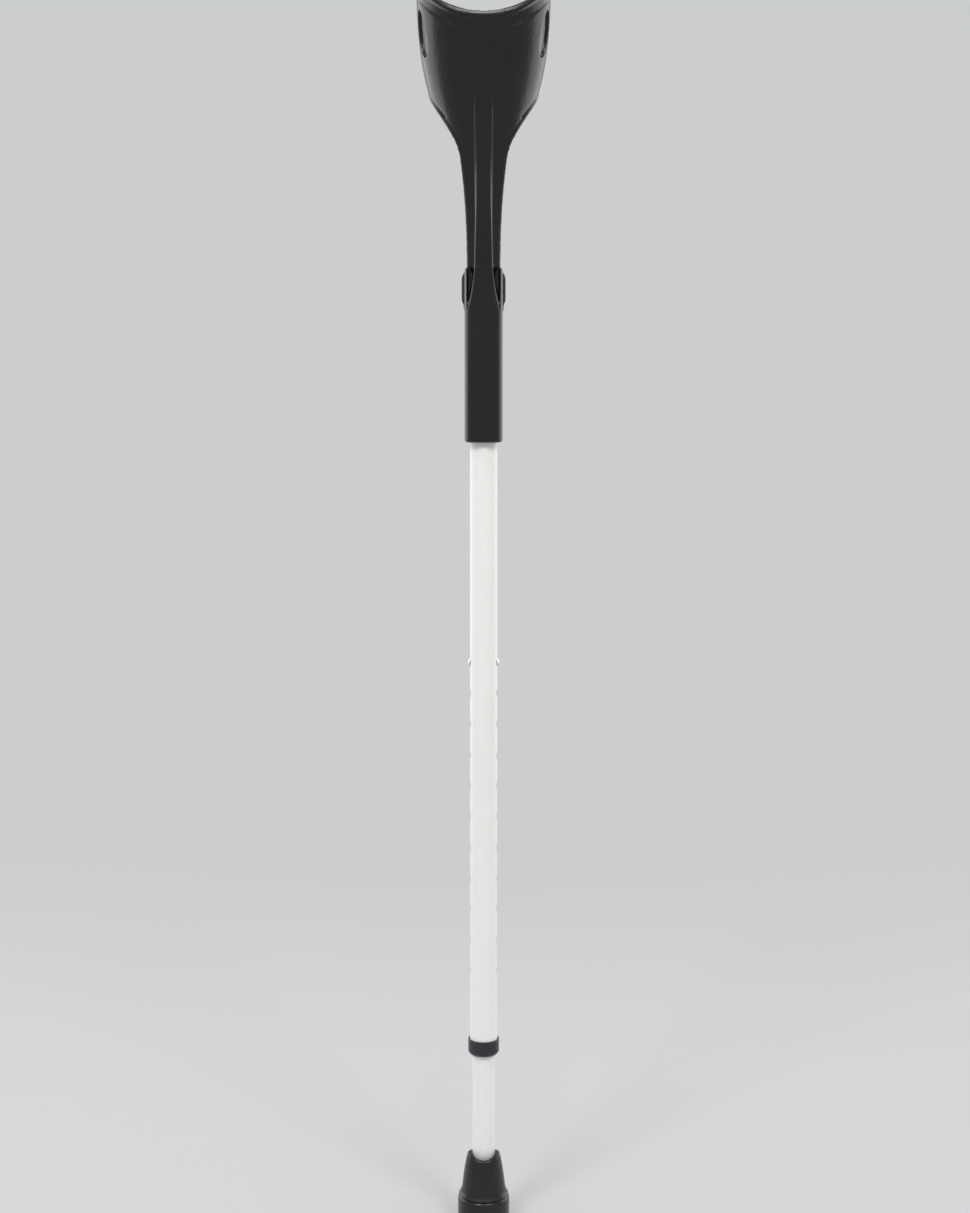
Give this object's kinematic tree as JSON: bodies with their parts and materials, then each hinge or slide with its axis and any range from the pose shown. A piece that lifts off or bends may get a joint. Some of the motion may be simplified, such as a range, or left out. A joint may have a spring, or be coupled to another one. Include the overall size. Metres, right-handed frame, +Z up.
{
  "type": "forearm crutch",
  "caption": "Forearm crutch: moulded cuff with side slots, forward hand grip, telescoping tubes with snap buttons, bell-shaped ferrule.",
  "frame": {"origin": "middle of the ferrule's sole, on the axis of the tubes", "axes": "+Z up the tubes, +Y forward, the way the hand grip points and the cuff opens, +X to the right of somebody facing forward"},
  "size_m": [0.1066, 0.198, 0.9968],
  "materials": {
    "handle_plastic": "satin black moulding",
    "grip_rubber": "matt soft cover",
    "cap_plastic": "matt black",
    "screw_steel": "zinc plated",
    "tube_coat": "pale powder coat",
    "collar_plastic": "dark grey moulding",
    "spring_steel": "bright steel",
    "button_steel": "polished",
    "ferrule_rubber": "matt dark grey rubber"
  },
  "bodies": {
    "frame": {"handle_moulding": "handle_plastic", "grip_cover": "grip_rubber", "grip_end_cap": "cap_plastic", "handle_screw": "screw_steel", "upper_tube": "tube_coat", "tube_collar": "collar_plastic"},
    "lower_section": {"lower_tube": "tube_coat", "guide_bush": "collar_plastic", "snap_spring": "spring_steel", "ferrule": "ferrule_rubber", "ferrule_disc": "spring_steel"},
    "button_left": {"snap_button_left": "button_steel"},
    "button_right": {"snap_button_right": "button_steel"}
  },
  "joints": [
    {"name": "height_slide", "type": "slide", "parent": "frame", "child": "lower_section", "axis": [0, 0, -1], "range_m": [0, 0.25], "deforming": ["snap_spring", "snap_button_left", "snap_button_right"]},
    {"name": "button_left_press", "type": "slide", "parent": "lower_section", "child": "button_left", "axis": [1, 0, 0], "range_m": [0, 0.003], "stiffness_N_per_m": 2500, "springref_m": -0.0008, "deforming": ["snap_spring"]},
    {"name": "button_right_press", "type": "slide", "parent": "lower_section", "child": "button_right", "axis": [-1, 0, 0], "range_m": [0, 0.003], "stiffness_N_per_m": 2500, "springref_m": -0.0008, "deforming": ["snap_spring"]}
  ]
}
